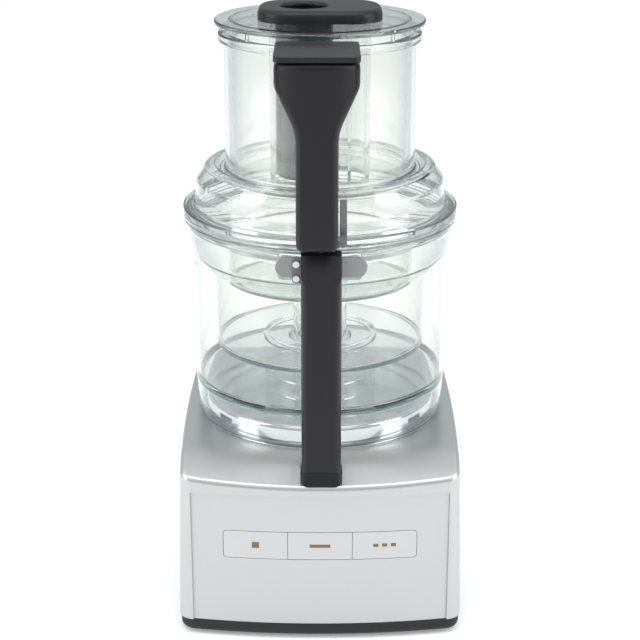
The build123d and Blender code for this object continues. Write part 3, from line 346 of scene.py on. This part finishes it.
def clear_moulding(name):
    mat, nt, shader = new_material(name)
    # Painted shade: the base colour turns gray-green the more edge on the wall is seen.
    edge = nt.nodes.new("ShaderNodeLayerWeight")
    edge.inputs["Blend"].default_value = 0.5
    grazing_shade_mask = nt.nodes.new("ShaderNodeMath")
    grazing_shade_mask.operation = "POWER"
    grazing_shade_mask.inputs[1].default_value = GRAZING_SHADE_POWER
    nt.links.new(edge.outputs["Facing"], grazing_shade_mask.inputs[0])
    tint_and_edge_shade = nt.nodes.new("ShaderNodeMix")
    tint_and_edge_shade.data_type = "RGBA"
    tint_and_edge_shade.inputs["A"].default_value = WALL_TINT
    tint_and_edge_shade.inputs["B"].default_value = GRAZING_SHADE_TINT
    nt.links.new(grazing_shade_mask.outputs[0], tint_and_edge_shade.inputs["Factor"])
    nt.links.new(tint_and_edge_shade.outputs["Result"], shader.inputs["Base Color"])
    shader.inputs["Transmission Weight"].default_value = 1.0
    shader.inputs["IOR"].default_value = 1.49
    where = nt.nodes.new("ShaderNodeTexCoord")
    haze = nt.nodes.new("ShaderNodeTexNoise")
    haze.inputs["Scale"].default_value = 30.0
    nt.links.new(where.outputs["Object"], haze.inputs["Vector"])
    rough = nt.nodes.new("ShaderNodeMapRange")
    rough.inputs["To Min"].default_value = 0.005
    rough.inputs["To Max"].default_value = 0.03
    nt.links.new(haze.outputs["Fac"], rough.inputs["Value"])
    nt.links.new(rough.outputs["Result"], shader.inputs["Roughness"])
    flow = nt.nodes.new("ShaderNodeTexNoise")
    flow.inputs["Scale"].default_value = 22.0
    nt.links.new(where.outputs["Object"], flow.inputs["Vector"])
    ripple = nt.nodes.new("ShaderNodeBump")
    ripple.inputs["Strength"].default_value = RIPPLE
    ripple.inputs["Distance"].default_value = 0.001
    nt.links.new(flow.outputs["Fac"], ripple.inputs["Height"])
    nt.links.new(ripple.outputs["Normal"], shader.inputs["Normal"])
    # Shadows and soft light pass straight through, so the table under it stays bright.
    path = nt.nodes.new("ShaderNodeLightPath")
    either = nt.nodes.new("ShaderNodeMath")
    either.operation = "MAXIMUM"
    nt.links.new(path.outputs["Is Shadow Ray"], either.inputs[0])
    nt.links.new(path.outputs["Is Diffuse Ray"], either.inputs[1])
    through = nt.nodes.new("ShaderNodeBsdfTransparent")
    through.inputs["Color"].default_value = (0.95, 0.965, 0.96, 1)
    mix = nt.nodes.new("ShaderNodeMixShader")
    nt.links.new(either.outputs[0], mix.inputs["Fac"])
    nt.links.new(shader.outputs[0], mix.inputs[1])
    nt.links.new(through.outputs[0], mix.inputs[2])
    output = nt.nodes["Material Output"]
    nt.links.new(mix.outputs[0], output.inputs["Surface"])
    depth = nt.nodes.new("ShaderNodeVolumeAbsorption")
    depth.inputs["Color"].default_value = (0.40, 0.62, 0.56, 1)
    depth.inputs["Density"].default_value = 5.0
    nt.links.new(depth.outputs[0], output.inputs["Volume"])
    return mat


finish_nodes(clear_moulding("clear_plastic"), "main_bowl", "midi_bowl", "mini_bowl",
             "lid", "large_pusher", "pusher_chute")


# Painted edge shade: the dark green line of a floor, rim or flange seen along its thickness,
# painted as a thin band set inside the clear plastic, just in from its edge.  Its green is
# partly the plastic's own colour; its darkness is painted shade and reflection.
BAND_TURNS = 160


# A see-through dark green sheet: painted shade and reflection along the plastic's thickness,
# over its own green.
def painted_edge_shade(name, green, cover):
    mat, nt, shader = new_material(name)
    where = nt.nodes.new("ShaderNodeTexCoord")
    cloud = nt.nodes.new("ShaderNodeTexNoise")
    cloud.inputs["Scale"].default_value = 25.0
    nt.links.new(where.outputs["Object"], cloud.inputs["Vector"])
    mottle(nt, shader, [c * 0.75 for c in green], [c * 1.35 for c in green], cloud)
    shader.inputs["Alpha"].default_value = cover
    shader.inputs["Roughness"].default_value = 0.3
    shader.inputs["Specular IOR Level"].default_value = 0.0
    return mat


def edge_shade_band(name, body, radius, low, high, tint_and_edge_shade):
    """A band of one radius between two heights, in millimetres."""
    bm = bmesh.new()
    rings = []
    for z in (low, (low + high) / 2, high):
        ring = []
        for i in range(BAND_TURNS):
            a = 2 * math.pi * i / BAND_TURNS
            ring.append(bm.verts.new((radius * MM * math.cos(a), radius * MM * math.sin(a),
                                      z * MM)))
        rings.append(ring)
    for lower, upper in zip(rings, rings[1:]):
        for i in range(BAND_TURNS):
            j = (i + 1) % BAND_TURNS
            bm.faces.new((lower[i], lower[j], upper[j], upper[i]))
    band = add_object(name, bm)
    for face in band.data.polygons:
        face.use_smooth = True
    band.data.materials.append(tint_and_edge_shade)
    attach(band, body)


# Painted edge shade bands: dark lines of shade and reflection in the floors, rims, flanges and
# the pusher's disc, with some of the plastic's own green.
floor_green_and_shade = painted_edge_shade("floor_green_and_shade", (0.05, 0.14, 0.13), 0.62)
rim_green_and_shade = painted_edge_shade("rim_green_and_shade", (0.02, 0.06, 0.07), 0.6)
edge_shade_band("main_floor_band", "main_bowl", 94.7, 162.9, 166.3, floor_green_and_shade)
edge_shade_band("midi_floor_band", "midi_bowl", 79.2, 190.6, 192.6, floor_green_and_shade)
edge_shade_band("midi_ring_band", "midi_bowl", 42.3, 190.7, 192.6, floor_green_and_shade)
edge_shade_band("mini_floor_band", "mini_bowl", 67.9, 241.9, 243.9, floor_green_and_shade)
low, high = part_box("large_pusher")
pusher_floor = low[2] / MM
disc_edge = high[2] / MM
edge_shade_band("pusher_floor_band", "large_pusher", 66.0, pusher_floor + 0.3,
          pusher_floor + 2.3, floor_green_and_shade)
edge_shade_band("pusher_disc_band", "large_pusher", 76.4, disc_edge - 2.4, disc_edge - 1.3,
          rim_green_and_shade)
edge_shade_band("main_skirt_band", "main_bowl", 93.7, 136.9, 138.4, rim_green_and_shade)
edge_shade_band("main_rim_band", "main_bowl", 102.1, 290.2, 291.2, rim_green_and_shade)
edge_shade_band("lid_flange_band", "lid", 102.4, 297.6, 298.5, rim_green_and_shade)


# Filling marks: two short printed lines on the main bowl's wall, one each side.
wall_ink = surface("wall_ink", (0.22, 0.25, 0.25), 0.4, fleck=0.1, scale=1500.0,
                   spread=0.03)
printed_mark("left_fill_line", "main_bowl", wall_ink, -86.0, -81.0, 194.0, 194.8)
printed_mark("right_fill_line", "main_bowl", wall_ink, 82.0, 87.0, 188.0, 188.8)
